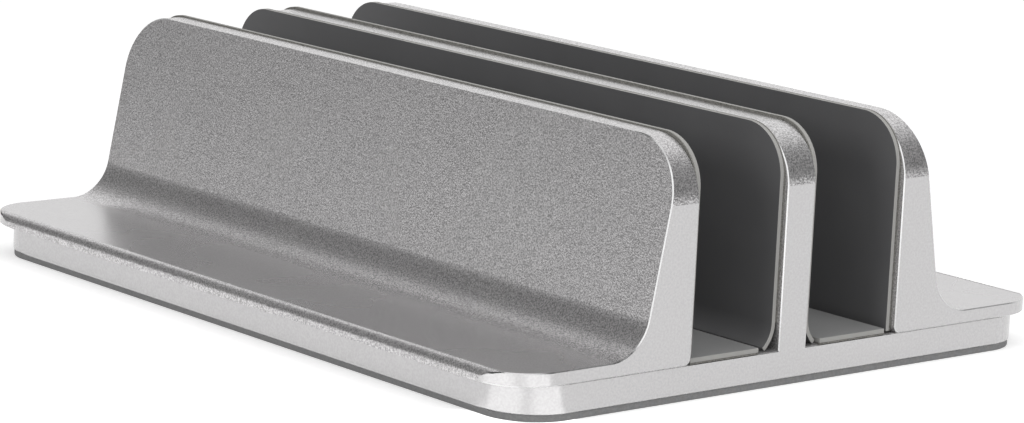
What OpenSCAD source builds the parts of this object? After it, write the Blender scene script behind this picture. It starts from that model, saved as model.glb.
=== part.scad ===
// Vertical laptop stand with two slots. X runs across the slots, Y along them, Z up.
// The origin is on the surface that the stand rests on, under the base plate's centre line and
// midway along the side walls.

/* [Base] */
// Width of the base plate, across the slots
base_width = 152.7; // [150:0.5:190]
// Thickness of the base plate
base_thickness = 6.4; // [6:0.1:10]
// Radius of the base plate's upright corners
base_corner_radius = 12.4; // [8:0.5:16]
// How far the base plate's near end stays behind the side walls' near ends
base_setback = 0.5; // [0:0.1:2]
// How far the base plate's far end stays behind the side walls' far ends
base_far_setback = 1.0; // [0:0.1:6]

/* [Middle wall] */
// Thickness of the middle wall
middle_thickness = 8.2; // [6:0.1:12]
// Height of the middle wall above the base plate
middle_height = 48.1; // [38:0.5:80]
// Radius of the middle wall's upper corners
middle_corner_radius = 12.5; // [6:0.5:20]
// How far the middle wall stands to the right of the base plate's centre line
middle_offset = -0.3; // [-3:0.1:3]

/* [Side walls] */
// Length of a side wall, along the slots
side_length = 200; // [196:0.5:240]
// Height of a side wall above the base plate
side_height = 48.1; // [38:0.5:80]
// Width of a side wall with its flange
side_width = 48.8; // [42:0.1:60]
// Thickness of a side wall at its top
side_top_thickness = 5.4; // [4.5:0.1:8]
// Thickness of a side wall where its slanted face would meet the flange
side_foot_thickness = 14; // [12:0.1:18]
// Radius of a side wall's upper corners
side_corner_radius = 13.8; // [6:0.5:20]
// Radius of the hollow between a side wall and its flange
foot_fillet_radius = 10; // [5:0.5:12]
// Thickness of the flange
flange_thickness = 3; // [2.8:0.1:5]
// Radius along the flange's long upper edge
flange_edge_radius = 2; // [0.8:0.1:2.5]
// Radius of the flange's upright corners
flange_corner_radius = 11.8; // [8:0.5:16]
// Radius along a side wall's lower edge inside the slot
slot_edge_radius = 1.6; // [0.5:0.1:2.5]

/* [Slots] */
// Width of the left slot from metal to metal, as set in the photograph
left_slot_width = 26.2; // [25.5:0.1:32]
// Width of the right slot from metal to metal, as set in the photograph
right_slot_width = 26.8; // [26:0.1:32]
// Widest that a slot can be set, from metal to metal
widest_slot_width = 40; // [34:0.5:42]

/* [Pads] */
// Thickness of the silicone pads
pad_thickness = 1.1; // [0.8:0.1:2]
// Thickness of the adhesive layer behind each pad
adhesive_thickness = 0.3; // [0.2:0.05:0.6]
// Radius of the upper corners of the walls' pads
pad_corner_radius = 11; // [5:0.5:18]
// How far the side walls' pads stay inside the ends of the walls
side_pad_inset = 1.4; // [0.5:0.1:4]
// How far the side walls' pads stand up above the walls
side_pad_rise = 0.3; // [0:0.1:1.5]
// How far the middle wall's pads stay inside the ends of the wall
middle_pad_inset = 1.2; // [0.5:0.1:4]
// How far the middle wall's pads stand up above the wall
middle_pad_rise = 0.6; // [0:0.1:1.5]
// Width of the pads on the floor of the slots
floor_pad_width = 19.9; // [16:0.1:21]
// How far the lower end of a middle pad curls away from its wall
curl_reach = 2.8; // [1:0.1:3.5]
// Height of the curled stretch of a middle pad
curl_height = 6.0; // [3.5:0.1:8]

/* [Bottom mat] */
// Thickness of the mat under the base plate
mat_thickness = 1.5; // [1:0.1:3]
// How far the mat stays inside the base plate's edge
mat_inset = 0.3; // [0.1:0.1:3]

/* [Screws] */
// Thread diameter of the clamping screws
screw_diameter = 4; // [3:0.5:5]
// Length of thread inside a side wall
screw_grip = 9; // [6:0.5:14]
// Diameter of the screw head
head_diameter = 7.6; // [6:0.1:8.5]
// Height of the screw head
head_height = 2.2; // [1.6:0.1:2.6]
// Width across flats of the key socket in the head
socket_width = 2.5; // [2:0.5:3]
// Outer diameter of the washer under the head
washer_diameter = 9; // [8:0.5:10]
// Thickness of the washer
washer_thickness = 0.8; // [0.5:0.1:1.2]
// Distance of a side wall's screws from its ends
screw_end_distance = 30; // [25:1:60]

/* [Hidden] */
$fn = 96;

// Clearances and the one overrun that every cut uses
overrun = 1;
thread_clearance = 0.05;
washer_clearance = 0.15;
slot_clearance = 0.3;
side_clearance = 0.7;
pad_clearance = 0.35;
head_clearance = 0.4;
drill_allowance = 1;
socket_depth_share = 0.55;

// The hollow at a side wall's foot is cut this much wider, so that it crosses the slanted face
fillet_bite = 0.005;

// Levels
base_bottom = mat_thickness;
base_top = base_bottom + base_thickness;
pad_stack = pad_thickness + adhesive_thickness;

// The curled end of a middle pad is an arc through its reach and its height
curl_radius = (curl_reach * curl_reach + curl_height * curl_height) / (2 * curl_reach);
curl_top = base_top + curl_height;
curl_run = curl_radius - curl_reach;
curl_tip = adhesive_thickness + curl_reach + pad_thickness * curl_run / curl_radius;

// Distances of the walls' faces in the slots from the base plate's centre line
middle_face = middle_thickness / 2;
middle_left = middle_face - middle_offset;
middle_right = middle_face + middle_offset;
left_face = middle_left + left_slot_width;
right_face = middle_right + right_slot_width;
widest_face = max(middle_left, middle_right) + widest_slot_width;
screw_depth = side_foot_thickness / 2;

// The right floor pad starts beside the curled pad, and the right wall can come in until its
// own pad is beside the floor pad's other edge
left_floor_start = slot_clearance - left_face;
right_floor_start = middle_right + curl_tip + pad_clearance;
right_closest_face = right_floor_start + floor_pad_width + pad_clearance + pad_stack;
closest_face = min(left_face, right_closest_face);

// Places along the slots
near_end = -side_length / 2;
base_near = near_end + base_setback;
base_length = side_length - base_setback - base_far_setback;
base_middle = base_near + base_length / 2;
side_middle = near_end + side_length / 2;
screw_spacing = side_length - 2 * screw_end_distance;

// Recess in the base plate's underside for a screw head and its washer
recess_depth = head_height + washer_thickness + head_clearance;
recess_width = washer_diameter + 2 * side_clearance;
guide_width = screw_diameter + 2 * slot_clearance;
screw_hole_diameter = screw_diameter + 2 * thread_clearance;
screw_seat = base_bottom + recess_depth - washer_thickness;

// Lean of a side wall's outer face, and the centre of the hollow at its foot
lean_rise = side_height - flange_thickness;
lean_run = side_foot_thickness - side_top_thickness;
lean_angle = atan(lean_run / lean_rise);
fillet_reach = foot_fillet_radius * tan((90 - lean_angle) / 2);
fillet_x = side_foot_thickness + fillet_reach;
fillet_z = flange_thickness + foot_fillet_radius;
fillet_touch_x = side_foot_thickness - fillet_reach * sin(lean_angle);
fillet_touch_z = flange_thickness + fillet_reach * cos(lean_angle);

// Rectangle of the given size with its lower left corner at the origin and its corners
// at the right-hand side rounded
module half_rounded_plate(width, length, radius) {
    square([width - radius, length]);
    translate([width - radius, radius]) square([radius, length - 2 * radius]);
    for (y = [radius, length - radius]) translate([width - radius, y]) circle(r = radius);
}

// Rectangle centred on the origin with four round corners
module rounded_plate(width, length, radius) {
    square([width, length - 2 * radius], center = true);
    square([width - 2 * radius, length], center = true);
    for (x = [-1, 1], y = [-1, 1])
        translate([x * (width / 2 - radius), y * (length / 2 - radius)]) circle(r = radius);
}

// Slab that stands on its long side: x is its thickness, y its length from zero, z its
// height from zero, and its two upper corners are round
module upright_slab(thickness, length, height, radius) {
    multmatrix([[0, 0, 1, 0], [1, 0, 0, 0], [0, 1, 0, 0], [0, 0, 0, 1]])
        linear_extrude(height = thickness) {
            square([length, height - radius]);
            translate([radius, height - radius]) square([length - 2 * radius, radius]);
            for (y = [radius, length - radius]) translate([y, height - radius]) circle(r = radius);
        }
}

// Extrudes an outline in x and z along y, from zero to the given length
module along_slot(length) {
    translate([0, length, 0]) rotate([90, 0, 0]) linear_extrude(height = length) children();
}

// Opening that lets a round thing of the given width travel across the slots
module travel_slot(width, depth) {
    start = closest_face + screw_depth - slot_clearance;
    end = widest_face + screw_depth + slot_clearance;
    translate([start, -width / 2, 0]) cube([end - start, width, depth]);
    for (x = [start, end]) translate([x, 0, 0]) cylinder(d = width, h = depth);
}

// Copies its child to the four places where the screws' guides lie in the base
module at_guides() {
    for (side = [0, 1], end = [-1, 1])
        translate([0, end * screw_spacing / 2, 0]) mirror([side, 0, 0]) children();
}

// Section of the right side wall, with x from its face in the slot and z from the base plate
module side_wall_section() {
    difference() {
        union() {
            polygon([
                [0, 0], [side_width, 0], [side_width, flange_thickness],
                [side_foot_thickness, flange_thickness], [side_top_thickness, side_height],
                [0, side_height]
            ]);
            difference() {
                polygon([
                    [side_foot_thickness, flange_thickness], [fillet_x, flange_thickness],
                    [fillet_touch_x, fillet_touch_z]
                ]);
                translate([fillet_x, fillet_z]) circle(r = foot_fillet_radius + fillet_bite);
            }
        }
        rounding_cut(0, 0, slot_edge_radius, 1, 1);
        rounding_cut(side_width, flange_thickness, flange_edge_radius, -1, -1);
    }
}

// What is cut off a corner at (x, z) to round it; the signs point from the corner inwards
module rounding_cut(x, z, radius, x_sign, z_sign) {
    difference() {
        translate([x + x_sign * (radius - overrun) / 2, z + z_sign * (radius - overrun) / 2])
            square(radius + overrun, center = true);
        translate([x + x_sign * radius, z + z_sign * radius]) circle(r = radius);
    }
}

// Right side wall with its face in the slot at x = 0 and its near end at y = 0
module side_wall() {
    difference() {
        intersection() {
            along_slot(side_length) side_wall_section();
            linear_extrude(height = side_height)
                half_rounded_plate(side_width, side_length, flange_corner_radius);
            upright_slab(side_width, side_length, side_height, side_corner_radius);
        }
        for (end = [-1, 1])
            translate([screw_depth, side_length / 2 + end * screw_spacing / 2, -overrun])
                cylinder(d = screw_hole_diameter, h = overrun + screw_grip + drill_allowance);
    }
}

// A layer of a side wall's lining, between two distances from the wall's face
module side_lining(from, thickness, bottom) {
    length = side_length - 2 * side_pad_inset;
    height = side_height + side_pad_rise;
    intersection() {
        translate([-from - thickness, side_pad_inset, 0])
            upright_slab(thickness, length, height, pad_corner_radius);
        translate([-from - thickness, 0, bottom]) cube([thickness, side_length, height]);
    }
}

// Puts a right-hand side wall's piece in its place in either slot
module place_right() {
    translate([right_face, near_end, base_top]) children();
}

module place_left() {
    mirror([1, 0, 0]) translate([left_face, near_end, base_top]) children();
}

// A layer of the middle wall's lining, down to the given level, with x from the wall's face
module middle_lining(from, thickness, bottom) {
    length = base_length - 2 * middle_pad_inset;
    height = middle_height + middle_pad_rise;
    intersection() {
        translate([from, base_near + middle_pad_inset, base_top])
            upright_slab(thickness, length, height, pad_corner_radius);
        translate([from, base_near, bottom]) cube([thickness, base_length, height]);
    }
}

// The end of a middle pad that curls away from the wall, cut square to its own run
module pad_curl() {
    translate([adhesive_thickness + curl_radius, base_near + middle_pad_inset, curl_top])
        along_slot(base_length - 2 * middle_pad_inset)
            intersection() {
                difference() {
                    circle(r = curl_radius);
                    circle(r = curl_radius - pad_thickness);
                }
                polygon([[0, 0], [-2 * curl_run, 0], [-2 * curl_run, -2 * curl_height]]);
            }
}

// Puts a piece of the middle wall's lining on the wall's right or left face
module place_middle(mirrored) {
    translate([middle_offset, 0, 0]) mirror([mirrored, 0, 0]) translate([middle_face, 0, 0]) children();
}

module middle_pad_shape() {
    middle_lining(adhesive_thickness, pad_thickness, curl_top);
    pad_curl();
}

// A layer of the floor pad that starts at the given x
module floor_layer(start, level, thickness) {
    translate([start, base_near, level]) cube([floor_pad_width, base_length, thickness]);
}

// Socket screw with its thread up, and the seat of its head at the origin
module screw_shape() {
    shank = base_thickness - recess_depth + washer_thickness + screw_grip;
    difference() {
        union() {
            cylinder(d = screw_diameter, h = shank);
            translate([0, 0, -head_height]) cylinder(d = head_diameter, h = head_height);
        }
        translate([0, 0, -head_height - overrun])
            cylinder(d = socket_width / cos(30), h = head_height * socket_depth_share + overrun, $fn = 6);
    }
}

module washer_shape() {
    difference() {
        cylinder(d = washer_diameter, h = washer_thickness);
        translate([0, 0, -overrun])
            cylinder(d = screw_diameter + 2 * washer_clearance, h = washer_thickness + 2 * overrun);
    }
}

// Puts a screw or washer in its seat under a side wall: face is that wall's distance from the
// centre line, and end is -1 at the near screw
module at_screw(side, face, end) {
    translate([side * (face + screw_depth), side_middle + end * screw_spacing / 2, screw_seat]) children();
}

module base_plate() {
    color([0.74, 0.74, 0.75]) difference() {
        union() {
            translate([0, base_middle, base_bottom]) linear_extrude(height = base_thickness)
                rounded_plate(base_width, base_length, base_corner_radius);
            translate([-middle_left, base_near, base_bottom])
                upright_slab(middle_thickness, base_length, base_thickness + middle_height,
                    middle_corner_radius);
        }
        at_guides() {
            translate([0, 0, base_bottom - overrun]) travel_slot(recess_width, recess_depth + overrun);
            translate([0, 0, base_bottom]) travel_slot(guide_width, base_thickness + overrun);
        }
    }
}

module bottom_mat() {
    color([0.33, 0.33, 0.34]) difference() {
        translate([0, base_middle, 0]) linear_extrude(height = mat_thickness)
            rounded_plate(base_width - 2 * mat_inset, base_length - 2 * mat_inset,
                base_corner_radius - mat_inset);
        at_guides() translate([0, 0, -overrun])
            travel_slot(recess_width + 2 * side_clearance, mat_thickness + 2 * overrun);
    }
}

module left_wall() { color([0.6, 0.6, 0.61]) place_left() side_wall(); }
module right_wall() { color([0.6, 0.6, 0.61]) place_right() side_wall(); }

module left_wall_pad() {
    color([0.24, 0.24, 0.25]) place_left()
        side_lining(adhesive_thickness, pad_thickness, pad_stack + pad_clearance);
}
module right_wall_pad() {
    color([0.24, 0.24, 0.25]) place_right() side_lining(adhesive_thickness, pad_thickness, pad_clearance);
}
module left_wall_adhesive() {
    color([0.1, 0.1, 0.1]) place_left() side_lining(0, adhesive_thickness, pad_stack + pad_clearance);
}
module right_wall_adhesive() {
    color([0.1, 0.1, 0.1]) place_right() side_lining(0, adhesive_thickness, pad_clearance);
}

module middle_pad_left() { color([0.24, 0.24, 0.25]) place_middle(1) middle_pad_shape(); }
module middle_pad_right() { color([0.24, 0.24, 0.25]) place_middle(0) middle_pad_shape(); }
module middle_adhesive_left() {
    color([0.1, 0.1, 0.1]) place_middle(1) middle_lining(0, adhesive_thickness, curl_top);
}
module middle_adhesive_right() {
    color([0.1, 0.1, 0.1]) place_middle(0) middle_lining(0, adhesive_thickness, curl_top);
}

module left_floor_pad() {
    color([0.28, 0.28, 0.29]) floor_layer(left_floor_start, base_top + adhesive_thickness, pad_thickness);
}
module right_floor_pad() {
    color([0.28, 0.28, 0.29]) floor_layer(right_floor_start, base_top + adhesive_thickness, pad_thickness);
}
module left_floor_adhesive() {
    color([0.1, 0.1, 0.1]) floor_layer(left_floor_start, base_top, adhesive_thickness);
}
module right_floor_adhesive() {
    color([0.1, 0.1, 0.1]) floor_layer(right_floor_start, base_top, adhesive_thickness);
}

module left_front_screw() { color([0.3, 0.3, 0.32]) at_screw(-1, left_face, -1) screw_shape(); }
module left_rear_screw() { color([0.3, 0.3, 0.32]) at_screw(-1, left_face, 1) screw_shape(); }
module right_front_screw() { color([0.3, 0.3, 0.32]) at_screw(1, right_face, -1) screw_shape(); }
module right_rear_screw() { color([0.3, 0.3, 0.32]) at_screw(1, right_face, 1) screw_shape(); }
module left_front_washer() { color([0.7, 0.7, 0.7]) at_screw(-1, left_face, -1) washer_shape(); }
module left_rear_washer() { color([0.7, 0.7, 0.7]) at_screw(-1, left_face, 1) washer_shape(); }
module right_front_washer() { color([0.7, 0.7, 0.7]) at_screw(1, right_face, -1) washer_shape(); }
module right_rear_washer() { color([0.7, 0.7, 0.7]) at_screw(1, right_face, 1) washer_shape(); }

base_plate();
left_wall();
right_wall();
bottom_mat();
left_wall_pad();
right_wall_pad();
middle_pad_left();
middle_pad_right();
left_floor_pad();
right_floor_pad();
left_wall_adhesive();
right_wall_adhesive();
middle_adhesive_left();
middle_adhesive_right();
left_floor_adhesive();
right_floor_adhesive();
left_front_screw();
left_rear_screw();
right_front_screw();
right_rear_screw();
left_front_washer();
left_rear_washer();
right_front_washer();
right_rear_washer();
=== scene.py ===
"""Vertical laptop stand with two slots: its metal walls, silicone linings and studio.

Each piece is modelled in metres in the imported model's own frame, where X runs across the slots,
Y along them and Z up, and the stand rests on z = 0.
"""

import math

import bmesh
import bpy
from mathutils import Matrix, Vector


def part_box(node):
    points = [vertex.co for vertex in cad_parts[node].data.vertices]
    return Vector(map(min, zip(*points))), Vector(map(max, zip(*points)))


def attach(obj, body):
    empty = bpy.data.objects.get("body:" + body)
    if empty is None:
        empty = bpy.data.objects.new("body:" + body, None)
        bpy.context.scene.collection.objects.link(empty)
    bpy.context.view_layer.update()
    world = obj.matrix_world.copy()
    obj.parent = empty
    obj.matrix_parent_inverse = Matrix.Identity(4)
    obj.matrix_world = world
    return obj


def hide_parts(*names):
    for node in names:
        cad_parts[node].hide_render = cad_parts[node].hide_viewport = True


bl_info = {
    "name": "Vertical Laptop Stand",
    "version": (1, 0, 0),
    "blender": (4, 5, 0),
    "location": "View3D > Sidebar > Stand",
    "description": "Builds a two-slot laptop stand with sliding side walls and silicone linings",
    "category": "Add Mesh",
}

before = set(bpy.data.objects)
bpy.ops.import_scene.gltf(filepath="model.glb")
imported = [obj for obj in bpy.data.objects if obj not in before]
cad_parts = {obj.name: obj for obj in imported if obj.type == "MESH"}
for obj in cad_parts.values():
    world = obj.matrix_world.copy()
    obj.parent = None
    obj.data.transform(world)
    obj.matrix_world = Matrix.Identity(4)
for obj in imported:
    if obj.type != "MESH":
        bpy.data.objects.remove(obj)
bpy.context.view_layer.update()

# Faces of the middle wall, where its adhesive starts
MIDDLE_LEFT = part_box("middle_adhesive_left")[1].x
MIDDLE_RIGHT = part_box("middle_adhesive_right")[0].x

# Tolerances for places and for cuts, and how far a cutter reaches past what it cuts
TINY = 1e-6
CUT_MARGIN = 1e-8
OVERRUN = 0.001

# Sides of the turned parts
ROUND_SIDES = 48

# Edges steeper than this are broken, and those smoother than this are shaded as one surface
SHARP_DEGREES = 50
SMOOTH_DEGREES = 30

# Share of an edge's length along Y from which the edge counts as lengthwise
LENGTHWISE = 0.999

# Parts of a face's normal: most along Z if it is upright, least along Y if it is an end, and
# least along Z if it is level
UPRIGHT = 0.04
FACES_END = 0.03
LEVEL = 0.999

# Places of a metal piece's finishes in its list of materials
BLASTED, MACHINED, MILLED, FLANGE = range(4)


def length(name, description, default):
    return bpy.props.FloatProperty(
        name=name, description=description, default=default, min=0, unit="LENGTH", precision=5
    )


def colour(name, description, default):
    return bpy.props.FloatVectorProperty(
        name=name, description=description, default=default, size=3, min=0, max=1, subtype="COLOR"
    )


class StandSizes(bpy.types.PropertyGroup):
    chamfer: length("Chamfer", "Width of the machined chamfer along the metal's edges", 0.00022)
    pad_edge: length("Pad edge", "Rounding along the edges of the silicone sheets", 0.00018)
    base_corner: length("Base corner", "Radius of the base plate's upright corners", 0.0124)
    mat_corner: length("Mat corner", "Radius of the bottom mat's corners", 0.0121)
    middle_corner: length("Middle corner", "Radius of the middle wall's upper corners", 0.0125)
    top_thickness: length("Top thickness", "Thickness of a side wall at its top", 0.0054)
    foot_thickness: length(
        "Foot thickness", "Thickness of a side wall where its slope would meet the flange", 0.014
    )
    foot_fillet: length("Foot fillet", "Radius of the hollow between side wall and flange", 0.010)
    flange_thickness: length("Flange thickness", "Thickness of the flange", 0.003)
    flange_edge: length("Flange edge", "Radius along the flange's long upper edge", 0.002)
    flange_corner: length("Flange corner", "Radius of the flange's upright corners", 0.0118)
    slot_edge: length("Slot edge", "Radius along a side wall's lower edge in the slot", 0.0016)
    side_corner: length("Side corner", "Radius of a side wall's upper corners", 0.0138)
    side_pad_corner: length("Side pad corner", "Radius of a side pad's upper corners", 0.0110)
    middle_pad_corner: length("Middle pad corner", "Radius of a middle pad's upper corners", 0.0110)
    pad_thickness: length("Pad thickness", "Thickness of the silicone sheets", 0.0011)
    curl_reach: length("Curl reach", "How far a middle pad's lower end curls from its wall", 0.0028)
    curl_height: length("Curl height", "Height of a middle pad's curled stretch", 0.006)
    recess_width: length("Recess width", "Width of the recesses for the screw heads", 0.0104)
    recess_depth: length("Recess depth", "Depth of the recesses for the screw heads", 0.0034)
    guide_width: length("Guide width", "Width of the guides that the screws travel in", 0.0046)
    guide_start: length("Guide start", "Distance of a guide's inner end from the middle", 0.0363066)
    guide_end: length("Guide end", "Distance of a guide's outer end from the middle", 0.0517)
    mat_opening: length("Mat opening", "Width of the mat's openings under the screws", 0.0118)
    screw_shank: length("Screw shank", "Diameter of a screw's shank", 0.004)
    head_height: length("Head height", "Height of a screw's head", 0.0022)
    head_edge: length("Head edge", "Rounding along the edges of a screw's head", 0.0003)
    socket_width: length("Socket width", "Width across flats of a screw's key socket", 0.0025)
    socket_depth: length("Socket depth", "Depth of a screw's key socket", 0.00121)
    washer_hole: length("Washer hole", "Diameter of a washer's hole", 0.0043)
    washer_edge: length("Washer edge", "Rounding along the edges of a washer", 0.00015)
    rounding_steps: bpy.props.IntProperty(
        name="Rounding steps", description="Flat steps in each round corner",
        default=20, min=6, max=48,
    )


class StandColours(bpy.types.PropertyGroup):
    base_metal: colour("Base metal", "Anodised aluminium of the base plate", (0.585, 0.576, 0.578))
    wall_metal: colour("Wall metal", "Anodised aluminium of the side walls", (0.60, 0.588, 0.592))
    end_metal: colour("End metal", "Milled aluminium of the ends and corners", (0.585, 0.578, 0.58))
    edge_metal: colour("Edge metal", "Bare aluminium of the machined edges", (0.62, 0.62, 0.62))
    pad: colour("Pad", "Face of the sheets on the walls", (0.135, 0.135, 0.138))
    floor_pad: colour("Floor pad", "Face of the strips on the slots' floors", (0.26, 0.26, 0.26))
    # Paler colour of the sheets' cut edges and rims: a painted highlight along them
    pad_cut_highlight: colour("Pad cut edge", "Cut edges of the silicone sheets", (0.40, 0.395, 0.38))
    mat: colour("Mat", "Rubber mat under the base plate", (0.27, 0.27, 0.272))
    adhesive: colour("Adhesive", "Foam tape behind the sheets", (0.22, 0.215, 0.2))
    screw: colour("Screw", "Blackened steel of the screws", (0.10, 0.10, 0.105))
    washer: colour("Washer", "Plain steel of the washers", (0.62, 0.62, 0.60))


class StandStudio(bpy.types.PropertyGroup):
    camera_place: bpy.props.FloatVectorProperty(
        name="Camera place", description="Where the camera stands",
        default=(-0.569391, -0.669765, 0.191939), size=3, unit="LENGTH", subtype="XYZ",
    )
    camera_turn: bpy.props.FloatProperty(
        name="Camera turn", description="Turn about the upright axis from looking along +Y",
        default=math.radians(-40.542), unit="ROTATION",
    )
    camera_pitch: bpy.props.FloatProperty(
        name="Camera pitch", description="How far the camera looks down",
        default=math.radians(11.040), unit="ROTATION",
    )
    camera_roll: bpy.props.FloatProperty(
        name="Camera roll", description="Roll about the viewing direction",
        default=math.radians(2.657), unit="ROTATION",
    )
    camera_lens: bpy.props.FloatProperty(
        name="Camera lens", description="Focal length on a 36 mm wide sensor",
        default=134.223, min=1, unit="CAMERA",
    )
    floor: colour("Floor", "Pale floor", (0.75, 0.75, 0.75))


def block(bm, low, high):
    """Adds a box between two corners."""
    low, high = Vector(low), Vector(high)
    verts = bmesh.ops.create_cube(bm, size=1)["verts"]
    bmesh.ops.scale(bm, vec=high - low, verts=verts)
    bmesh.ops.translate(bm, vec=(low + high) / 2, verts=verts)


def extruded(bm, face, vec):
    """Extrudes a face and returns the face at its far end. No face stays inside a solid."""
    behind = [] if all(e.is_boundary for e in face.edges) else [face]
    made = bmesh.ops.extrude_face_region(bm, geom=[face])["geom"]
    bmesh.ops.translate(bm, vec=vec, verts=[g for g in made if isinstance(g, bmesh.types.BMVert)])
    bmesh.ops.delete(bm, geom=behind, context="FACES_ONLY")
    return next(g for g in made if isinstance(g, bmesh.types.BMFace))


def rod(bm, middle, low, high, radius, sides):
    """Adds an upright round or hexagonal bar between two levels."""
    disc = bmesh.ops.create_circle(bm, cap_ends=True, segments=sides, radius=radius)["verts"]
    bmesh.ops.translate(bm, vec=(middle.x, middle.y, low), verts=disc)
    extruded(bm, disc[0].link_faces[0], (0, 0, high - low))
    bmesh.ops.recalc_face_normals(bm, faces=bm.faces[:])


def mill_corner(bm, centre, start, end, radius, steps):
    """Rounds an outer corner about the given centre, between the flats facing start and end."""
    for k in range(1, steps):
        turn = math.pi / 2 * k / steps
        facing = Vector(start) * math.cos(turn) + Vector(end) * math.sin(turn)
        cut = bmesh.ops.bisect_plane(
            bm, geom=bm.verts[:] + bm.edges[:] + bm.faces[:], dist=CUT_MARGIN,
            plane_co=Vector(centre) + facing * radius, plane_no=facing, clear_outer=True,
        )
        rim = [g for g in cut["geom_cut"] if isinstance(g, bmesh.types.BMEdge)]
        bmesh.ops.edgeloop_fill(bm, edges=rim)


def mill_upper_corners(bm, y_low, y_high, top, radius, steps):
    for y, way in ((y_low, -1), (y_high, 1)):
        mill_corner(bm, (0, y - way * radius, top - radius), (0, way, 0), (0, 0, 1), radius, steps)


def mill_upright_corners(bm, x_sides, y_low, y_high, radius, steps):
    for x, side in x_sides:
        for y, way in ((y_low, -1), (y_high, 1)):
            centre = (x - side * radius, y - way * radius, 0)
            mill_corner(bm, centre, (side, 0, 0), (0, way, 0), radius, steps)


def round_edge(bm, x, z, offset, steps):
    """Rounds the long edge that runs along Y at the given x and z."""
    edges = [
        e for e in bm.edges
        if all(abs(v.co.x - x) < TINY and abs(v.co.z - z) < TINY for v in e.verts)
    ]
    bmesh.ops.bevel(
        bm, geom=edges, offset=offset, offset_type="OFFSET", segments=steps, profile=0.5,
        affect="EDGES", material=-1,
    )


def break_edges(bm, width, segments=1, material=-1, lengthwise=True):
    """Bevels every sharp outer edge, or only those that don't run along Y."""
    bmesh.ops.recalc_face_normals(bm, faces=bm.faces[:])
    edges = [
        e for e in bm.edges
        if e.is_manifold and e.calc_face_angle_signed() > math.radians(SHARP_DEGREES)
        and (lengthwise or is_across(e))
    ]
    bmesh.ops.bevel(
        bm, geom=edges, offset=width, offset_type="OFFSET", segments=segments, profile=0.5,
        affect="EDGES", material=material,
    )


def is_across(edge):
    """Does this edge run any way but along Y?"""
    run = abs(edge.verts[0].co.y - edge.verts[1].co.y)
    return run < LENGTHWISE * edge.calc_length()


def mill_ends(bm, below):
    """Gives the milled finish to the ends, upright corners and upright faces below a level."""
    bmesh.ops.recalc_face_normals(bm, faces=bm.faces[:])
    for face in bm.faces:
        end = abs(face.normal.y) > FACES_END or face.calc_center_median().z < below
        if face.material_index == BLASTED and abs(face.normal.z) < UPRIGHT and end:
            face.material_index = MILLED


def long_hole(bm, start, end, y, width, low, high):
    """Adds the solid of a slot with round ends, along X."""
    verts = []
    for x in (start, end):
        for z in (low, high):
            verts += bmesh.ops.create_circle(
                bm, segments=40, radius=width / 2, matrix=Matrix.Translation((x, y, z))
            )["verts"]
    hull = bmesh.ops.convex_hull(bm, input=verts)
    spare = hull["geom_interior"] + hull["geom_unused"]
    spare = {g for g in spare if isinstance(g, bmesh.types.BMVert)}
    bmesh.ops.delete(bm, geom=list(spare), context="VERTS")


def guides(sizes):
    """The four guides that the screws travel in: each one's ends along X and its place in Y."""
    for side in (-1, 1):
        for screw in ("left_front_screw", "left_rear_screw"):
            y = sum(p.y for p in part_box(screw)) / 2
            yield (*sorted((side * sizes.guide_start, side * sizes.guide_end)), y)


def loose_object(bm, name):
    mesh = bpy.data.meshes.new(name)
    bm.to_mesh(mesh)
    bm.free()
    thing = bpy.data.objects.new(name, mesh)
    bpy.context.scene.collection.objects.link(thing)
    return thing


def cut_out(bm, cutter):
    """Takes the cutter's solids out of a shape and returns the new shape."""
    body, tool = loose_object(bm, "body"), loose_object(cutter, "tool")
    cut = body.modifiers.new("Cut", "BOOLEAN")
    cut.operation, cut.solver, cut.object = "DIFFERENCE", "EXACT", tool
    depsgraph = bpy.context.evaluated_depsgraph_get()
    made = bmesh.new()
    made.from_object(body, depsgraph)
    for thing in (body, tool):
        mesh = thing.data
        bpy.data.objects.remove(thing)
        bpy.data.meshes.remove(mesh)
    if len(made.faces) < 6:
        raise RuntimeError("a cut left no solid")
    return made


def finished(bm, name, materials, body, nodes):
    """Turns a shape into a piece that rides on a body and stands for its nodes."""
    bmesh.ops.recalc_face_normals(bm, faces=bm.faces[:])
    for face in bm.faces:
        face.smooth = True
    for edge in bm.edges:
        one_skin = len({face.material_index for face in edge.link_faces}) == 1
        gentle = edge.is_manifold and edge.calc_face_angle(0) < math.radians(SMOOTH_DEGREES)
        edge.smooth = gentle and one_skin
    loose = [e for e in bm.edges if not e.is_manifold]
    if loose:
        raise RuntimeError(f"{name} has {len(loose)} open edges")
    piece = loose_object(bm, name)
    for material in materials:
        piece.data.materials.append(material)
    shade = piece.modifiers.new("Even normals", "WEIGHTED_NORMAL")
    shade.keep_sharp = True
    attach(piece, body)
    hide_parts(*nodes)


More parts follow.
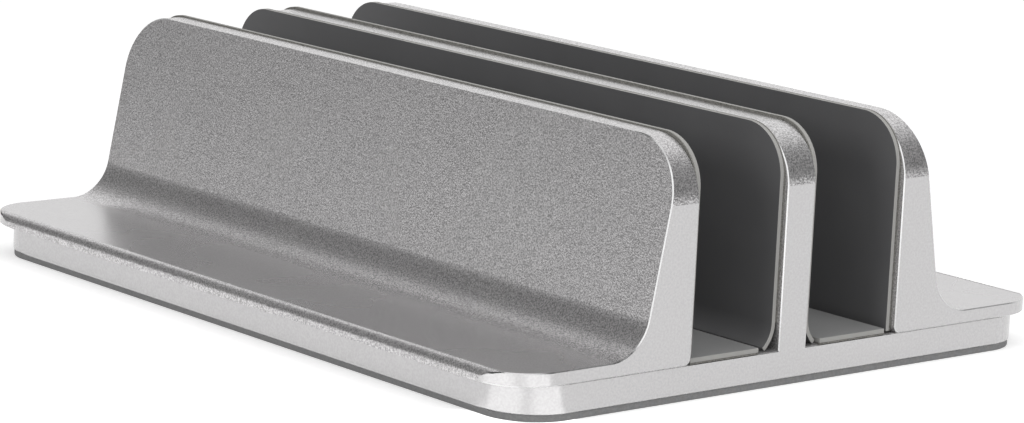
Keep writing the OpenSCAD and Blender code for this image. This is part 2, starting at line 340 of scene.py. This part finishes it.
class Surface:
    """A material under construction: its node tree, with a Principled shader at its end."""

    def __init__(self, name, base, roughness, metallic=0.0, specular=0.5):
        self.material = bpy.data.materials.new(name)
        self.material.use_nodes = True
        self.material.diffuse_color = (*base, 1)
        self.nodes, self.links = self.material.node_tree.nodes, self.material.node_tree.links
        self.shader = next(n for n in self.nodes if n.type == "BSDF_PRINCIPLED")
        self.shader.inputs["Base Color"].default_value = (*base, 1)
        self.shader.inputs["Roughness"].default_value = roughness
        self.shader.inputs["Metallic"].default_value = metallic
        self.shader.inputs["Specular IOR Level"].default_value = specular
        self.place = self.nodes.new("ShaderNodeTexCoord").outputs["Object"]
        self.base = base

    def link(self, source, node, socket):
        self.links.new(source, node.inputs[socket])

    def stretched(self, scale):
        node = self.nodes.new("ShaderNodeMapping")
        node.inputs["Scale"].default_value = scale
        self.link(self.place, node, "Vector")
        return node.outputs["Vector"]

    def noise(self, size, detail=2.0, roughness=0.5, place=None):
        """Noise whose grains are about the given size in metres."""
        node = self.nodes.new("ShaderNodeTexNoise")
        node.inputs["Scale"].default_value = 1 / size
        node.inputs["Detail"].default_value = detail
        node.inputs["Roughness"].default_value = roughness
        self.link(place or self.place, node, "Vector")
        return node.outputs["Fac"]

    def ranged(self, source, low, high, to_low, to_high):
        node = self.nodes.new("ShaderNodeMapRange")
        self.link(source, node, "Value")
        values = (low, high, to_low, to_high)
        for socket, value in zip(("From Min", "From Max", "To Min", "To Max"), values):
            node.inputs[socket].default_value = value
        return node.outputs["Result"]

    def mixed(self, source, first, second):
        """A colour between two, by a factor."""
        node = self.nodes.new("ShaderNodeMix")
        node.data_type = "RGBA"
        self.link(source, node, 0)
        node.inputs[6].default_value = (*first, 1)
        node.inputs[7].default_value = (*second, 1)
        return node.outputs[2]

    def tint(self, source, spread, low=0.3, high=0.7):
        """Varies the base colour by a share on either side, along a pattern."""
        dark = [c * (1 - spread) for c in self.base]
        light = [min(1, c * (1 + spread)) for c in self.base]
        shade = self.mixed(self.ranged(source, low, high, 0, 1), dark, light)
        self.link(shade, self.shader, "Base Color")

    def gloss(self, source, low, high):
        self.link(self.ranged(source, 0.3, 0.7, low, high), self.shader, "Roughness")

    def bumps(self, *layers):
        """Stacks bumps: pairs of a pattern and its height in metres."""
        normal = None
        for source, height in layers:
            node = self.nodes.new("ShaderNodeBump")
            node.inputs["Strength"].default_value = 1.0
            node.inputs["Distance"].default_value = height
            self.link(source, node, "Height")
            if normal:
                self.link(normal, node, "Normal")
            normal = node.outputs["Normal"]
        self.link(normal, self.shader, "Normal")


def blasted_metal(name, base, grain, depth, speckle, roughness=0.27):
    """Blasted and anodised aluminium: shallow dimples of one grain, and speckles of colour."""
    surface = Surface(name, base, roughness, metallic=0.7)
    fine = surface.noise(grain, 1.0, 0.6)
    cloud = surface.noise(0.03, 2.0)
    surface.tint(fine, speckle, 0.35, 0.65)
    surface.gloss(cloud, roughness - 0.02, roughness + 0.02)
    surface.bumps((fine, depth))
    return surface.material


def machined_metal(name, base):
    """Bare cut edge with the fine lines that the cutter leaves."""
    surface = Surface(name, base, 0.2, metallic=1.0)
    lines = surface.noise(0.0004, 1.0, place=surface.stretched((1.0, 0.05, 1.0)))
    surface.tint(lines, 0.06)
    surface.gloss(lines, 0.16, 0.26)
    return surface.material


def silicone(name, base, roughness):
    surface = Surface(name, base, roughness, specular=0.4)
    skin = surface.noise(0.00025, 2.0)
    cloud = surface.noise(0.018, 3.0)
    surface.tint(cloud, 0.05)
    surface.gloss(cloud, roughness - 0.05, roughness + 0.05)
    surface.bumps((skin, 0.000006))
    return surface.material


def rubber(name, base):
    surface = Surface(name, base, 0.75, specular=0.3)
    skin = surface.noise(0.0006, 3.0, 0.6)
    surface.tint(skin, 0.12)
    surface.bumps((skin, 0.00005))
    return surface.material


def foam_tape(name, base):
    surface = Surface(name, base, 0.9, specular=0.2)
    cells = surface.noise(0.0003, 2.0, 0.7)
    surface.tint(cells, 0.5)
    surface.bumps((cells, 0.00006))
    return surface.material


def steel(name, base, roughness):
    surface = Surface(name, base, roughness, metallic=1.0)
    skin = surface.noise(0.0003, 2.0)
    surface.tint(skin, 0.1)
    surface.gloss(surface.noise(0.002, 2.0), roughness - 0.06, roughness + 0.06)
    surface.bumps((skin, 0.000006))
    return surface.material


def finish(name):
    """The material of one finish, made the first time that it is asked for."""
    if name in bpy.data.materials:
        return bpy.data.materials[name]
    colours = bpy.context.scene.stand_colours
    recipes = {
        "blasted_base": lambda: blasted_metal(
            name, colours.base_metal, grain=0.00040, depth=0.000060, speckle=0.36
        ),
        "blasted_walls": lambda: blasted_metal(
            name, colours.wall_metal, grain=0.00036, depth=0.000060, speckle=0.36
        ),
        "blasted_flanges": lambda: blasted_metal(
            name, colours.wall_metal, grain=0.00036, depth=0.000030, speckle=0.07
        ),
        "milled_ends": lambda: blasted_metal(
            name, colours.end_metal, grain=0.0005, depth=0.000003, speckle=0.06, roughness=0.20
        ),
        "machined_edges": lambda: machined_metal(name, colours.edge_metal),
        "wall_sheet": lambda: silicone(name, colours.pad, roughness=0.55),
        "floor_sheet": lambda: silicone(name, colours.floor_pad, roughness=0.55),
        # Sheets' cut edges and rims: a paler colour that paints their highlight
        "sheet_edge_highlight": lambda: silicone(name, colours.pad_cut_highlight, roughness=0.6),
        "mat_rubber": lambda: rubber(name, colours.mat),
        "foam": lambda: foam_tape(name, colours.adhesive),
        "blackened_steel": lambda: steel(name, colours.screw, roughness=0.35),
        "plain_steel": lambda: steel(name, colours.washer, roughness=0.3),
    }
    return recipes[name]()


def finishes(*names):
    return [finish(name) for name in names]


class Builder(bpy.types.Operator):
    bl_options = {"REGISTER", "UNDO"}


class STAND_OT_base_plate(Builder):
    """Base plate with the middle wall, in one piece, with the screws' guides underneath"""

    bl_idname = "stand.base_plate"
    bl_label = "Base Plate"

    def execute(self, context):
        sizes = context.scene.stand_sizes
        low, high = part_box("base_plate")
        top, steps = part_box("left_wall")[0].z, sizes.rounding_steps
        bm = bmesh.new()
        block(bm, low, (high.x, high.y, top))
        for x in (MIDDLE_LEFT, MIDDLE_RIGHT):
            bmesh.ops.bisect_plane(
                bm, geom=bm.verts[:] + bm.edges[:] + bm.faces[:],
                plane_co=(x, 0, 0), plane_no=(1, 0, 0),
            )
        strip = next(
            f for f in bm.faces
            if f.normal.z > 0.9 and MIDDLE_LEFT < f.calc_center_median().x < MIDDLE_RIGHT
        )
        extruded(bm, strip, (0, 0, high.z - top))
        bmesh.ops.dissolve_limit(
            bm, angle_limit=math.radians(1), verts=bm.verts[:], edges=bm.edges[:]
        )
        sides = ((low.x, -1), (high.x, 1))
        mill_upright_corners(bm, sides, low.y, high.y, sizes.base_corner, steps)
        mill_upper_corners(bm, low.y, high.y, high.z, sizes.middle_corner, steps)
        break_edges(bm, sizes.chamfer, material=MACHINED, lengthwise=False)
        mill_ends(bm, top)
        holes, depth = bmesh.new(), sizes.recess_depth
        for guide in guides(sizes):
            long_hole(holes, *guide, sizes.guide_width, low.z + depth / 2, top + OVERRUN)
            long_hole(holes, *guide, sizes.recess_width, low.z - OVERRUN, low.z + depth)
        bm = cut_out(bm, holes)
        metals = finishes("blasted_base", "machined_edges", "milled_ends")
        finished(bm, "base_body", metals, "base", ["base_plate"])
        return {"FINISHED"}


class STAND_OT_side_walls(Builder):
    """Two side walls with their flanges, mirror images of each other"""

    bl_idname = "stand.side_walls"
    bl_label = "Side Walls"

    def execute(self, context):
        sizes = context.scene.stand_sizes
        for side, name in ((-1, "left"), (1, "right")):
            low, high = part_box(f"{name}_wall")
            width, height = high.x - low.x, high.z - low.z
            bm = bmesh.new()
            self.extrusion(bm, sizes, width, height, low.y, high.y)
            mill_upright_corners(
                bm, ((width, 1),), low.y, high.y, sizes.flange_corner, sizes.rounding_steps
            )
            mill_upper_corners(bm, low.y, high.y, height, sizes.side_corner, sizes.rounding_steps)
            break_edges(bm, sizes.chamfer, material=MACHINED, lengthwise=False)
            mill_ends(bm, 0)
            for patch in bm.faces:
                low_down = patch.calc_center_median().z < sizes.foot_fillet
                if patch.material_index == BLASTED and patch.normal.z > LEVEL and low_down:
                    patch.material_index = FLANGE
            bmesh.ops.scale(bm, vec=(side, 1, 1), verts=bm.verts)
            face = low.x if side > 0 else high.x
            bmesh.ops.translate(bm, vec=(face, 0, low.z), verts=bm.verts)
            bmesh.ops.recalc_face_normals(bm, faces=bm.faces[:])
            metals = finishes("blasted_walls", "machined_edges", "milled_ends", "blasted_flanges")
            wall = f"{name}_wall"
            finished(bm, f"{wall}_body", metals, f"{name}_side", [wall])
        return {"FINISHED"}

    def extrusion(self, bm, sizes, width, height, near, far):
        """The wall's section along the slot, with x from the slot face and z from the base."""
        foot, top, flange = sizes.foot_thickness, sizes.top_thickness, sizes.flange_thickness
        lean = math.atan2(foot - top, height - flange)
        reach = sizes.foot_fillet * math.tan((math.pi / 2 - lean) / 2)
        corners = ((0, 0), (width, 0), (width, flange), (foot, flange), (top, height), (0, height))
        section = bm.faces.new([bm.verts.new((x, near, z)) for x, z in corners])
        extruded(bm, section, (0, far - near, 0))
        bmesh.ops.recalc_face_normals(bm, faces=bm.faces[:])
        round_edge(bm, foot, flange, reach, steps=18)
        round_edge(bm, width, flange, sizes.flange_edge, steps=8)
        round_edge(bm, 0, 0, sizes.slot_edge, steps=6)


def lining(low, high, corner, steps):
    """A flat sheet that stands on its long side, with two round upper corners."""
    bm = bmesh.new()
    block(bm, low, high)
    if corner:
        mill_upper_corners(bm, low.y, high.y, high.z, corner, steps)
    return bm


def paint_highlight_on_cut_edges(bm, flat_axis):
    """Gives the second material, whose paler colour is a painted highlight, to a sheet's cut edges,
    which don't face along the given axis.
    """
    bmesh.ops.recalc_face_normals(bm, faces=bm.faces[:])
    for face in bm.faces:
        face.material_index = int(abs(face.normal[flat_axis]) < 0.8)


class STAND_OT_side_pads(Builder):
    """Silicone sheets on the slot faces of the side walls"""

    bl_idname = "stand.side_pads"
    bl_label = "Side Pads"

    def execute(self, context):
        sizes = context.scene.stand_sizes
        for name in ("left", "right"):
            low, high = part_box(f"{name}_wall_pad")
            bm = lining(low, high, sizes.side_pad_corner, sizes.rounding_steps)
            break_edges(bm, sizes.pad_edge, segments=2)
            paint_highlight_on_cut_edges(bm, 0)
            skins, side = finishes("wall_sheet", "sheet_edge_highlight"), f"{name}_side"
            finished(bm, f"{side}_lining", skins, side, [f"{name}_wall_pad"])
        return {"FINISHED"}


class STAND_OT_middle_pads(Builder):
    """Silicone sheets on both faces of the middle wall, whose lower ends curl into the slots"""

    bl_idname = "stand.middle_pads"
    bl_label = "Middle Pads"

    def execute(self, context):
        sizes = context.scene.stand_sizes
        radius = (sizes.curl_reach**2 + sizes.curl_height**2) / (2 * sizes.curl_reach)
        bend = math.asin(sizes.curl_height / radius)
        for side, name in ((-1, "left"), (1, "right")):
            low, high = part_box(f"middle_pad_{name}")
            back = side * (low.x if side > 0 else high.x)
            straight_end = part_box(f"middle_adhesive_{name}")[0].z
            bm = lining(
                Vector((back, low.y, straight_end)),
                Vector((back + sizes.pad_thickness, high.y, high.z)),
                sizes.middle_pad_corner, sizes.rounding_steps,
            )
            foot = min(bm.faces, key=lambda f: f.calc_center_median().z)
            bmesh.ops.spin(
                bm, geom=[foot, *foot.edges, *foot.verts], cent=(back + radius, 0, straight_end),
                axis=(0, 1, 0), angle=-bend, steps=8,
            )
            bmesh.ops.delete(
                bm, geom=[f for f in bm.faces if self.inside(f, straight_end)], context="FACES_ONLY"
            )
            break_edges(bm, sizes.pad_edge, segments=2)
            bmesh.ops.recalc_face_normals(bm, faces=bm.faces[:])
            round_from = high.z - sizes.middle_pad_corner
            for face in bm.faces:
                face.material_index = int(self.takes_painted_highlight(face, round_from))
            bmesh.ops.scale(bm, vec=(side, 1, 1), verts=bm.verts)
            skins, node = finishes("wall_sheet", "sheet_edge_highlight"), f"middle_pad_{name}"
            finished(bm, f"middle_lining_{name}", skins, "base", [node])
        return {"FINISHED"}

    @staticmethod
    def inside(face, level):
        """Is this the face left inside the sheet where its curl starts?"""
        return abs(face.normal.z) > 0.9 and all(abs(v.co.z - level) < TINY for v in face.verts)

    @staticmethod
    def takes_painted_highlight(face, round_from):
        """Is this face on one of the sheet's ends, its upper rim or its round corners, which take
        the painted highlight?
        """
        rim = abs(face.normal.x) < 0.8 and face.calc_center_median().z > round_from
        return abs(face.normal.y) > 0.5 or rim


class STAND_OT_floor_pads(Builder):
    """Silicone strips on the floors of the slots"""

    bl_idname = "stand.floor_pads"
    bl_label = "Floor Pads"

    def execute(self, context):
        sizes = context.scene.stand_sizes
        for name in ("left", "right"):
            bm = lining(*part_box(f"{name}_floor_pad"), 0, 0)
            break_edges(bm, sizes.pad_edge, segments=2)
            paint_highlight_on_cut_edges(bm, 2)
            skins, floor = finishes("floor_sheet", "sheet_edge_highlight"), f"{name}_floor"
            finished(bm, f"{floor}_lining", skins, "base", [f"{floor}_pad"])
        return {"FINISHED"}


class STAND_OT_adhesive(Builder):
    """Foam tape behind each silicone sheet"""

    bl_idname = "stand.adhesive"
    bl_label = "Adhesive Layers"

    def execute(self, context):
        sizes = context.scene.stand_sizes
        layers = {
            "left_wall_adhesive": ("left_side", sizes.side_pad_corner),
            "right_wall_adhesive": ("right_side", sizes.side_pad_corner),
            "middle_adhesive_left": ("base", sizes.middle_pad_corner),
            "middle_adhesive_right": ("base", sizes.middle_pad_corner),
            "left_floor_adhesive": ("base", 0),
            "right_floor_adhesive": ("base", 0),
        }
        for node, (body, corner) in layers.items():
            bm = lining(*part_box(node), corner, sizes.rounding_steps)
            finished(bm, f"{node}_tape", finishes("foam"), body, [node])
        return {"FINISHED"}


class STAND_OT_bottom_mat(Builder):
    """Mat under the base plate, open over the screws"""

    bl_idname = "stand.bottom_mat"
    bl_label = "Bottom Mat"

    def execute(self, context):
        sizes = context.scene.stand_sizes
        low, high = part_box("bottom_mat")
        bm = bmesh.new()
        block(bm, low, high)
        sides = ((low.x, -1), (high.x, 1))
        mill_upright_corners(bm, sides, low.y, high.y, sizes.mat_corner, sizes.rounding_steps)
        break_edges(bm, sizes.pad_edge, segments=2)
        holes = bmesh.new()
        for guide in guides(sizes):
            long_hole(holes, *guide, sizes.mat_opening, low.z - OVERRUN, high.z + OVERRUN)
        bm = cut_out(bm, holes)
        skins = finishes("mat_rubber")
        finished(bm, "bottom_mat_sheet", skins, "base", ["bottom_mat"])
        return {"FINISHED"}


class STAND_OT_screws(Builder):
    """Low-head socket screws that clamp the side walls, each with its washer"""

    bl_idname = "stand.screws"
    bl_label = "Screws and Washers"

    def execute(self, context):
        sizes = context.scene.stand_sizes
        for side in ("left", "right"):
            for end in ("front", "rear"):
                name = f"{side}_{end}"
                self.screw(sizes, name, f"{side}_side")
                self.washer(sizes, name, f"{side}_side")
        return {"FINISHED"}

    def screw(self, sizes, name, body):
        low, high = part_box(f"{name}_screw")
        middle, head = (low + high) / 2, (high.x - low.x) / 2
        bm = bmesh.new()
        rod(bm, middle, low.z, low.z + sizes.head_height, head, ROUND_SIDES)
        break_edges(bm, sizes.head_edge, segments=3)
        neck = max(bm.faces, key=lambda f: f.calc_center_median().z)
        ledge = head - sizes.head_edge - sizes.screw_shank / 2
        bmesh.ops.inset_region(bm, faces=[neck], thickness=ledge)
        extruded(bm, neck, (0, 0, high.z - low.z - sizes.head_height))
        bmesh.ops.recalc_face_normals(bm, faces=bm.faces[:])
        socket, bottom = bmesh.new(), low.z + sizes.socket_depth
        rod(socket, middle, low.z - OVERRUN, bottom, sizes.socket_width / math.sqrt(3), sides=6)
        bm = cut_out(bm, socket)
        skins, node = finishes("blackened_steel"), f"{name}_screw"
        finished(bm, f"{name}_socket_screw", skins, body, [node])

    def washer(self, sizes, name, body):
        low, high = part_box(f"{name}_washer")
        middle = (low + high) / 2
        bm = bmesh.new()
        rod(bm, middle, low.z, high.z, (high.x - low.x) / 2, ROUND_SIDES)
        break_edges(bm, sizes.washer_edge, segments=2)
        hole = bmesh.new()
        rod(hole, middle, low.z - OVERRUN, high.z + OVERRUN, sizes.washer_hole / 2, ROUND_SIDES)
        bm = cut_out(bm, hole)
        skins, node = finishes("plain_steel"), f"{name}_washer"
        finished(bm, f"{name}_plain_washer", skins, body, [node])


# Each lamp's name, place, width, height and power
LAMPS = (
    ("left_softbox", (-1.6, -0.13, 0.6), 0.7, 0.5, 5.0),
    ("near_softbox", (0.33, -1.58, 0.6), 0.7, 0.5, 5.0),
    ("ceiling_panel", (-0.1, -0.35, 1.6), 1.6, 1.6, 11.0),
)

# Level of the light from all round
AMBIENT_LEVEL = 0.42

FLOOR_RADIUS = 1.1

# The floor's level in the metal's reflections, and the painted reflection that two glowing sectors
# off the
# near left corner add to it: their azimuths in degrees, and the azimuth of the half of the floor
# that they keep to
FLOOR_LEVEL = 0.48
PAINTED_POOL_LEVEL = 0.62
POOL_AZIMUTHS = (190, 262)
POOL_HALF_AZIMUTH = 191

# Levels of the light tent, and the directions of its two bright panels
TENT_RADIUS = 3.0
TENT_DARK = 0.07
TENT_LEFT = 0.50
TENT_BACK = 0.98
TENT_FRONT = 1.5
TENT_ABOVE = 1.2
TENT_BELOW = 1.0
BACK_PANEL = (0.755, 0.553, 0.352)
FRONT_PANEL = (-0.73, -0.51, 0.455)


class STAND_OT_studio(Builder):
    """Pale floor, soft light and the camera"""

    bl_idname = "stand.studio"
    bl_label = "Studio"

    def execute(self, context):
        studio = context.scene.stand_studio
        context.scene.view_settings.view_transform = "Standard"
        self.world(context.scene)
        self.floor(studio)
        self.light_tent()
        for lamp in LAMPS:
            self.lamp(*lamp)
        self.camera(context.scene, studio)
        return {"FINISHED"}

    def background_rays(self, nodes, links):
        """One for the rays that see the background: straight, mirrored or through glass."""
        path = nodes.new("ShaderNodeLightPath")
        total = None
        for ray in ("Is Camera Ray", "Is Glossy Ray", "Is Transmission Ray"):
            if total is None:
                total = path.outputs[ray]
                continue
            add = nodes.new("ShaderNodeMath")
            add.operation = "MAXIMUM"
            links.new(total, add.inputs[0])
            links.new(path.outputs[ray], add.inputs[1])
            total = add.outputs[0]
        return total

    def world(self, scene):
        world = bpy.data.worlds.new("Studio")
        world.use_nodes = True
        scene.world = world
        nodes, links = world.node_tree.nodes, world.node_tree.links
        background = next(n for n in nodes if n.type == "BACKGROUND")
        background.inputs["Color"].default_value = (1, 1, 1, 1)
        level = nodes.new("ShaderNodeMapRange")
        level.inputs["To Min"].default_value = AMBIENT_LEVEL
        level.inputs["To Max"].default_value = 1.0
        links.new(self.background_rays(nodes, links), level.inputs["Value"])
        links.new(level.outputs["Result"], background.inputs["Strength"])

    def floor(self, studio):
        bm = bmesh.new()
        bmesh.ops.create_circle(bm, cap_ends=True, segments=96, radius=FLOOR_RADIUS)
        floor = loose_object(bm, "floor")
        material = bpy.data.materials.new("pale_floor")
        material.use_nodes = True
        nodes, links = material.node_tree.nodes, material.node_tree.links
        nodes.clear()
        paint = nodes.new("ShaderNodeBsdfDiffuse")
        paint.inputs["Color"].default_value = (*studio.floor, 1)
        glow = nodes.new("ShaderNodeEmission")
        level = nodes.new("ShaderNodeMath")
        level.operation = "MULTIPLY"
        links.new(self.background_rays(nodes, links), level.inputs[0])
        # The floor glows brighter in two sectors off the near left corner: a painted reflection on
        # its rounding
        links.new(self.painted_reflection_pools(nodes, links), level.inputs[1])
        links.new(level.outputs[0], glow.inputs["Strength"])
        both = nodes.new("ShaderNodeAddShader")
        links.new(paint.outputs[0], both.inputs[0])
        links.new(glow.outputs[0], both.inputs[1])
        out = nodes.new("ShaderNodeOutputMaterial")
        links.new(both.outputs[0], out.inputs["Surface"])
        floor.data.materials.append(material)

    def painted_reflection_pools(self, nodes, links):
        """The floor's level in reflections, with a painted reflection: two sectors off the near
        left corner glow brighter.
        """
        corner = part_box("base_plate")[0]
        inset = bpy.context.scene.stand_sizes.base_corner
        centre = (corner.x + inset, corner.y + inset, 0)

        def joined(kind, operation, *inputs):
            node = nodes.new(kind)
            if operation:
                node.operation = operation
            for socket, value in zip(node.inputs, inputs):
                if isinstance(value, bpy.types.NodeSocket):
                    links.new(value, socket)
                else:
                    socket.default_value = value
            return node

        def along(azimuth):
            facing = (math.cos(math.radians(azimuth)), math.sin(math.radians(azimuth)), 0)
            node = joined("ShaderNodeVectorMath", "DOT_PRODUCT", away, facing)
            return node.outputs["Value"]

        place = nodes.new("ShaderNodeTexCoord").outputs["Object"]
        away = joined("ShaderNodeVectorMath", "SUBTRACT", place, centre).outputs["Vector"]
        away = joined("ShaderNodeVectorMath", "NORMALIZE", away).outputs["Vector"]
        pools = []
        # Each sector's painted glow rises towards its azimuth
        for azimuth in POOL_AZIMUTHS:
            ramp = joined("ShaderNodeMapRange", None, along(azimuth), 0.75, 0.97, 0.0, PAINTED_POOL_LEVEL)
            ramp.interpolation_type = "SMOOTHSTEP"
            pools.append(ramp.outputs["Result"])
        both = joined("ShaderNodeMath", "ADD", *pools).outputs[0]
        half = joined("ShaderNodeMapRange", None, along(POOL_HALF_AZIMUTH), -0.03, 0.03, 0.0, 1.0)
        pool = joined("ShaderNodeMath", "MULTIPLY", both, half.outputs["Result"]).outputs[0]
        return joined("ShaderNodeMath", "ADD", pool, FLOOR_LEVEL).outputs[0]

    def light_tent(self):
        """A tent that only mirrored rays see: dark cloth with bright panels and a white foot."""
        bm = bmesh.new()
        bmesh.ops.create_uvsphere(bm, u_segments=64, v_segments=32, radius=TENT_RADIUS)
        tent = loose_object(bm, "light_tent")
        tent.data.shade_smooth()
        for rays in ("camera", "diffuse", "transmission", "shadow"):
            setattr(tent, f"visible_{rays}", False)
        surface = bpy.data.materials.new("tent_cloth")
        surface.use_nodes = True
        surface.cycles.emission_sampling = "NONE"
        nodes, links = surface.node_tree.nodes, surface.node_tree.links
        nodes.clear()

        def ranged(source, low, high, to_low, to_high):
            node = nodes.new("ShaderNodeMapRange")
            node.interpolation_type = "SMOOTHSTEP"
            links.new(source, node.inputs["Value"])
            values = (low, high, to_low, to_high)
            for socket, value in zip(("From Min", "From Max", "To Min", "To Max"), values):
                if isinstance(value, (int, float)):
                    node.inputs[socket].default_value = value
                else:
                    links.new(value, node.inputs[socket])
            return node.outputs["Result"]

        place = nodes.new("ShaderNodeTexCoord")
        way = nodes.new("ShaderNodeVectorMath")
        way.operation = "NORMALIZE"
        links.new(place.outputs["Object"], way.inputs[0])
        split = nodes.new("ShaderNodeSeparateXYZ")
        links.new(way.outputs["Vector"], split.inputs["Vector"])

        def towards(direction):
            node = nodes.new("ShaderNodeVectorMath")
            node.operation = "DOT_PRODUCT"
            node.inputs[1].default_value = direction
            links.new(way.outputs["Vector"], node.inputs[0])
            return node.outputs["Value"]

        height = split.outputs["Z"]
        left = ranged(towards((-1.0, 0.0, 0.0)), 0.45, 0.75, TENT_DARK, TENT_LEFT)
        low = ranged(height, 0.05, 0.28, left, TENT_DARK)
        back = ranged(towards(BACK_PANEL), 0.45, 0.88, low, TENT_BACK)
        front = ranged(towards(FRONT_PANEL), 0.72, 0.92, back, TENT_FRONT)
        above = ranged(height, 0.82, 0.93, front, TENT_ABOVE)
        level = ranged(height, -0.08, 0.01, TENT_BELOW, above)
        glow = nodes.new("ShaderNodeEmission")
        links.new(level, glow.inputs["Strength"])
        out = nodes.new("ShaderNodeOutputMaterial")
        links.new(glow.outputs[0], out.inputs["Surface"])
        tent.data.materials.append(surface)

    def lamp(self, name, place, width, height, power):
        data = bpy.data.lights.new(name, "AREA")
        data.shape = "RECTANGLE"
        data.size, data.size_y, data.energy = width, height, power
        lamp = bpy.data.objects.new(name, data)
        bpy.context.scene.collection.objects.link(lamp)
        lamp.location = place
        lamp.rotation_euler = (-Vector(place)).to_track_quat("-Z", "Y").to_euler()
        lamp.visible_glossy = False

    def camera(self, scene, studio):
        data = bpy.data.cameras.new("camera")
        data.sensor_width, data.lens = 36, studio.camera_lens
        data.clip_start, data.clip_end = 0.05, 20
        camera = bpy.data.objects.new("camera", data)
        scene.collection.objects.link(camera)
        turn = Matrix.Rotation(studio.camera_turn, 4, "Z")
        pitch = Matrix.Rotation(math.pi / 2 - studio.camera_pitch, 4, "X")
        roll = Matrix.Rotation(studio.camera_roll, 4, "Z")
        camera.matrix_world = Matrix.Translation(studio.camera_place) @ turn @ pitch @ roll
        scene.camera = camera


PIECES = (
    STAND_OT_base_plate,
    STAND_OT_side_walls,
    STAND_OT_side_pads,
    STAND_OT_middle_pads,
    STAND_OT_floor_pads,
    STAND_OT_adhesive,
    STAND_OT_bottom_mat,
    STAND_OT_screws,
    STAND_OT_studio,
)


class STAND_PT_panel(bpy.types.Panel):
    bl_idname = "STAND_PT_panel"
    bl_label = "Laptop Stand"
    bl_space_type = "VIEW_3D"
    bl_region_type = "UI"
    bl_category = "Stand"

    def draw(self, context):
        for piece in PIECES:
            self.layout.operator(piece.bl_idname)
        for group_name in GROUPS:
            group = getattr(context.scene, group_name)
            for name in group.__annotations__:
                self.layout.prop(group, name)


GROUPS = {"stand_sizes": StandSizes, "stand_colours": StandColours, "stand_studio": StandStudio}


def register():
    for name, group in GROUPS.items():
        bpy.utils.register_class(group)
        setattr(bpy.types.Scene, name, bpy.props.PointerProperty(type=group))
    for piece in (*PIECES, STAND_PT_panel):
        bpy.utils.register_class(piece)


def unregister():
    for piece in (STAND_PT_panel, *reversed(PIECES)):
        bpy.utils.unregister_class(piece)
    for name, group in GROUPS.items():
        delattr(bpy.types.Scene, name)
        bpy.utils.unregister_class(group)


def main():
    register()
    for piece in PIECES:
        family, name = piece.bl_idname.split(".")
        getattr(getattr(bpy.ops, family), name)()


if __name__ == "__main__":
    main()
